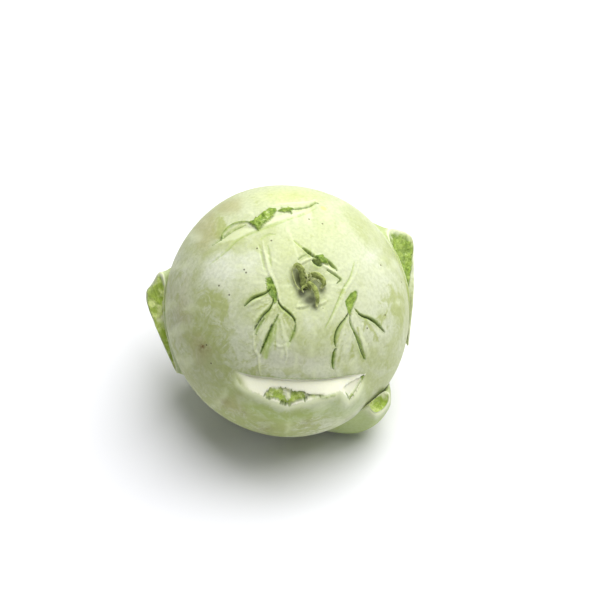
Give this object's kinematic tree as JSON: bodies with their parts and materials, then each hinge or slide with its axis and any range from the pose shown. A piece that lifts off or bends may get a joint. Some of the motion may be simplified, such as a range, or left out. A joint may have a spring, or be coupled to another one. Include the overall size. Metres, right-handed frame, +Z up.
{
  "type": "kohlrabi",
  "caption": "Kohlrabi lying on its flank: round swollen stem with clawed leaf scars, a broad cut scar, short torn stalk stubs, a cut root and a withered growing tip.",
  "frame": {"origin": "middle of the small flat spot on the flank that the kohlrabi rests on", "axes": "+Z up as it lies, the growing tip leans towards -Y and up, +X to the right of someone who looks at the tip, along the longest extent between the left and right stalk stubs"},
  "size_m": [0.1001, 0.0964, 0.0837],
  "materials": {
    "skin": "pale green skin with a thin whitish wax bloom, slightly satin",
    "withered_leaf": "dull dry leaf remnants"
  },
  "bodies": {
    "root": {"bulb": "skin", "crown_tuft": "withered_leaf"}
  },
  "joints": []
}
